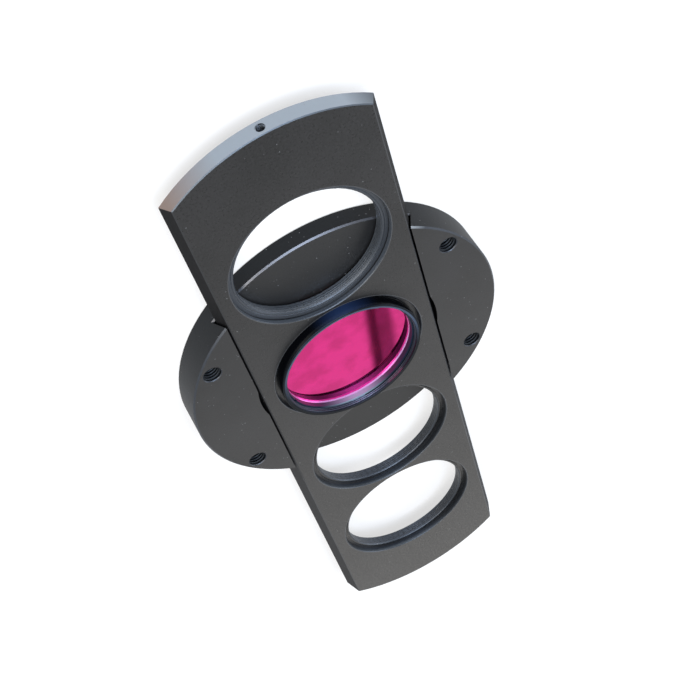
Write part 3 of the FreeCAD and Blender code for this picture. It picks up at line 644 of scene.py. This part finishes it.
def makeThreadTree():
    tree = bpy.data.node_groups.new("screw_thread", "GeometryNodeTree")
    for name, kind in threadInputs.items():
        tree.interface.new_socket(name, in_out="INPUT", socket_type=kind)
    tree.interface.new_socket("Geometry", in_out="OUTPUT", socket_type="NodeSocketGeometry")
    given = addNode(tree, "NodeGroupInput").outputs
    height = addNode(tree, "ShaderNodeMath", {"operation": "MULTIPLY"},
                     {0: given["Pitch"], 1: given["Turns"]})
    helix = addNode(tree, "GeometryNodeCurveSpiral", {},
                    {"Resolution": given["Steps"], "Rotations": given["Turns"], "Height": height.outputs[0],
                     "Start Radius": given["Outer radius"], "End Radius": given["Outer radius"]})
    upright = addNode(tree, "GeometryNodeSetCurveNormal", {"mode": "Z_UP"}, {"Curve": helix.outputs[0]})
    foot, crest = [addNode(tree, "ShaderNodeMath", {"operation": "MULTIPLY"}, {0: given["Pitch"], 1: share})
                   for share in (ridgeFoot, ridgeCrest)]
    corners = []
    for side, away, half in ((1, 0.0, foot), (-1, 0.0, foot), (-1, 1.0, crest), (1, 1.0, crest)):
        up = addNode(tree, "ShaderNodeMath", {"operation": "MULTIPLY"}, {0: half.outputs[0], 1: side})
        out = addNode(tree, "ShaderNodeMath", {"operation": "MULTIPLY"}, {0: given["Depth"], 1: away})
        corners.append(addNode(tree, "ShaderNodeCombineXYZ", {}, {"X": out.outputs[0], "Y": up.outputs[0]}))
    profile = addNode(tree, "GeometryNodeCurvePrimitiveQuadrilateral", {"mode": "POINTS"},
                      {f"Point {index}": corner.outputs[0] for index, corner in enumerate(corners, start=1)})
    ridge = addNode(tree, "GeometryNodeCurveToMesh", {},
                    {"Curve": upright.outputs[0], "Profile Curve": profile.outputs[0], "Fill Caps": True})
    holes = addNode(tree, "GeometryNodeMeshGrid", {},
                    {"Size X": given["Row length"], "Size Y": given["Row width"],
                     "Vertices X": given["Holes along"], "Vertices Y": given["Holes across"]})
    moved = addNode(tree, "GeometryNodeTransform", {},
                    {"Geometry": holes.outputs[0], "Translation": given["Centre"]})
    copies = addNode(tree, "GeometryNodeInstanceOnPoints", {},
                     {"Points": moved.outputs[0], "Instance": ridge.outputs[0], "Rotation": given["Tilt"]})
    solid = addNode(tree, "GeometryNodeRealizeInstances", {}, {"Geometry": copies.outputs[0]})
    painted = addNode(tree, "GeometryNodeSetMaterial", {},
                      {"Geometry": solid.outputs[0], "Material": given["Finish"]})
    addNode(tree, "NodeGroupOutput", {}, {"Geometry": painted.outputs[0]})
    return tree


threadTree = makeThreadTree()


def cutThread(name, thread):
    piece = place(bpy.data.meshes.new(name), name)
    modifier = piece.modifiers.new("thread", "NODES")
    modifier.node_group = threadTree
    rowLength, rowWidth = thread.get("row", (0, 0))
    along, across = thread.get("count", (1, 1))
    sizes = {
        "Outer radius": thread["radius"] + ridgeBite * mm,
        "Depth": thread["depth"] * mm, "Pitch": thread["pitch"] * mm,
        "Turns": thread["turns"], "Steps": thread["steps"], "Centre": thread["foot"],
        "Tilt": thread.get("tilt", (0, 0, 0)), "Row length": rowLength, "Row width": rowWidth,
        "Holes along": along, "Holes across": across, "Finish": thread["finish"],
    }
    for item in threadTree.interface.items_tree:
        if item.in_out == "INPUT":
            modifier[item.identifier] = sizes[item.name]
    wound = piece.evaluated_get(bpy.context.evaluated_depsgraph_get())
    piece.data = bpy.data.meshes.new_from_object(wound)
    piece.data.name = name
    piece.modifiers.remove(modifier)
    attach(piece, thread["body"])


bolts = mounts["mounting_holes"]["dims"]
near, third, far = (mounts[f"filter_thread_{which}"] for which in ("near", "third", "far"))
endHole = mounts["end_hole"]
ringGap = 0.05  # mm, round the retaining ring
wallRadius = (ringHigh[0] - ringLow[0]) / 2 + ringGap * mm


def lowEnd(mount):
    return mount["pos_m"][2] - mount["dims"]["length_mm"] / 2 * mm


# Pitch and depth in mm, the depth less than the real one. A thread starts and stops a little inside its hole.
threads = {
    "mount_threads": {
        "body": "base", "slot": "black_anodised", "finish": cutFinish, "steps": 32,
        "radius": bolts["hole_r_mm"] * mm, "pitch": 1.0, "depth": 0.4, "turns": 11.3,
        "foot": (0, 0, 0.5 * mm),
        "row": (bolts["spacing_x_mm"] * mm, bolts["spacing_y_mm"] * mm), "count": (2, 2),
    },
    "near_filter_thread": {
        "body": "slide", "slot": "black_anodised_plate", "finish": plateFinish, "steps": 144,
        "radius": near["dims"]["r_mm"] * mm, "pitch": 0.75, "depth": 0.1, "turns": 3.6,
        "foot": (near["pos_m"][0], 0, lowEnd(near) + 0.3 * mm),
    },
    "far_filter_threads": {
        "body": "slide", "slot": "black_anodised_plate", "finish": plateFinish, "steps": 144,
        "radius": far["dims"]["r_mm"] * mm, "pitch": 0.75, "depth": 0.1, "turns": 3.6,
        "foot": ((third["pos_m"][0] + far["pos_m"][0]) / 2, 0, lowEnd(far) + 0.3 * mm),
        "row": (far["pos_m"][0] - third["pos_m"][0], 0), "count": (2, 1),
    },
    "end_hole_thread": {
        "body": "slide", "slot": "black_anodised_plate", "finish": plateFinish, "steps": 24,
        "radius": endHole["dims"]["r_mm"] * mm, "pitch": 0.5, "depth": 0.26, "turns": 14,
        "foot": (endHole["pos_m"][0] - (endHole["dims"]["length_mm"] / 2 - 0.24) * mm, 0, endHole["pos_m"][2]),
        "tilt": (0, math.radians(90), 0),
    },
    "cell_thread": {
        "body": "slide", "slot": "gloss_black_cell", "finish": threadFinish, "steps": 144,
        "radius": wallRadius, "pitch": 0.6, "depth": 0.3, "turns": 2.6,
        "foot": (0, 0, ringHigh[2] + 0.1 * mm),
    },
}
for name, thread in threads.items():
    cutThread(name, thread)
print("threads wound")
